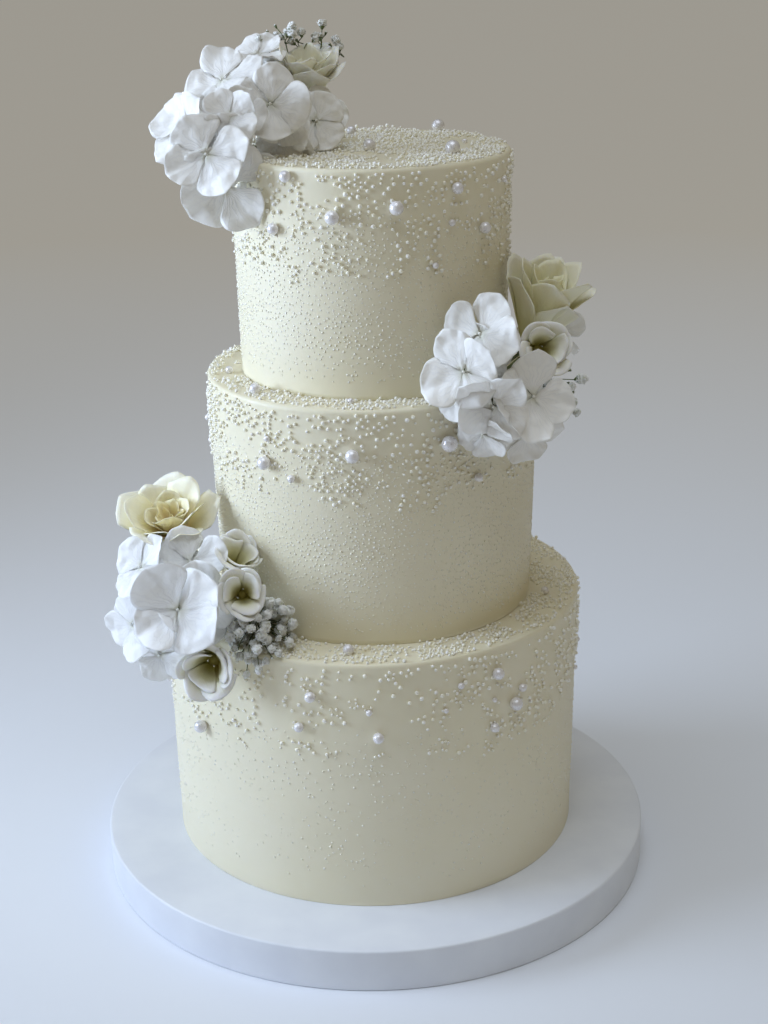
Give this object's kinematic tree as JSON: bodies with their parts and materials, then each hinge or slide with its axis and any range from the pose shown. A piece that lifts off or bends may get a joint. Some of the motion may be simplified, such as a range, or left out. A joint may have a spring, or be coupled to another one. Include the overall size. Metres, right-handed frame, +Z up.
{
  "type": "tiered wedding cake",
  "caption": "Three-tier round buttercream wedding cake on a thick round board, with sugar pearls and nonpareils and three posies of fresh white flowers.",
  "frame": {"origin": "centre of the round board's underside, where the cake stands", "axes": "+Z up, along the tiers' height; -Y is the cake's front, +X its right side seen from the front"},
  "size_m": [0.356, 0.356, 0.5396],
  "materials": {
    "board": "matt white paper",
    "buttercream": "smoothed ivory buttercream, satin",
    "pearl": "pearlescent sugar shell",
    "hydrangea_petal": "thin fresh petal, matt, veined",
    "rose_petal": "fresh cream petal, matt",
    "lisianthus_petal": "fresh off-white petal with an olive throat",
    "gypsophila": "tiny crumpled white petals",
    "stem": "fresh green stem"
  },
  "bodies": {
    "root": {"bottom_tier": "buttercream", "cake_board": "board", "left_gypsophila": "gypsophila", "left_hydrangea_1": "hydrangea_petal", "left_hydrangea_2": "hydrangea_petal", "left_hydrangea_3": "hydrangea_petal", "left_hydrangea_4": "hydrangea_petal", "left_hydrangea_5": "hydrangea_petal", "left_hydrangea_6": "hydrangea_petal", "left_lisianthus_1": "lisianthus_petal", "left_lisianthus_2": "lisianthus_petal", "left_lisianthus_3": "lisianthus_petal", "left_rose": "rose_petal", "left_stems": "stem", "middle_tier": "buttercream", "pearl_1": "pearl", "pearl_10": "pearl", "pearl_11": "pearl", "pearl_12": "pearl", "pearl_13": "pearl", "pearl_14": "pearl", "pearl_15": "pearl", "pearl_16": "pearl", "pearl_17": "pearl", "pearl_18": "pearl", "pearl_19": "pearl", "pearl_2": "pearl", "pearl_3": "pearl", "pearl_4": "pearl", "pearl_5": "pearl", "pearl_6": "pearl", "pearl_7": "pearl", "pearl_8": "pearl", "pearl_9": "pearl", "right_gypsophila": "gypsophila", "right_hydrangea_1": "hydrangea_petal", "right_hydrangea_2": "hydrangea_petal", "right_hydrangea_3": "hydrangea_petal", "right_hydrangea_4": "hydrangea_petal", "right_hydrangea_5": "hydrangea_petal", "right_hydrangea_6": "hydrangea_petal", "right_hydrangea_7": "hydrangea_petal", "right_lisianthus_1": "lisianthus_petal", "right_rose": "rose_petal", "right_stems": "stem", "top_gypsophila": "gypsophila", "top_hydrangea_1": "hydrangea_petal", "top_hydrangea_10": "hydrangea_petal", "top_hydrangea_2": "hydrangea_petal", "top_hydrangea_3": "hydrangea_petal", "top_hydrangea_4": "hydrangea_petal", "top_hydrangea_5": "hydrangea_petal", "top_hydrangea_6": "hydrangea_petal", "top_hydrangea_7": "hydrangea_petal", "top_hydrangea_8": "hydrangea_petal", "top_hydrangea_9": "hydrangea_petal", "top_rose": "rose_petal", "top_stems": "stem", "top_tier": "buttercream"}
  },
  "joints": []
}
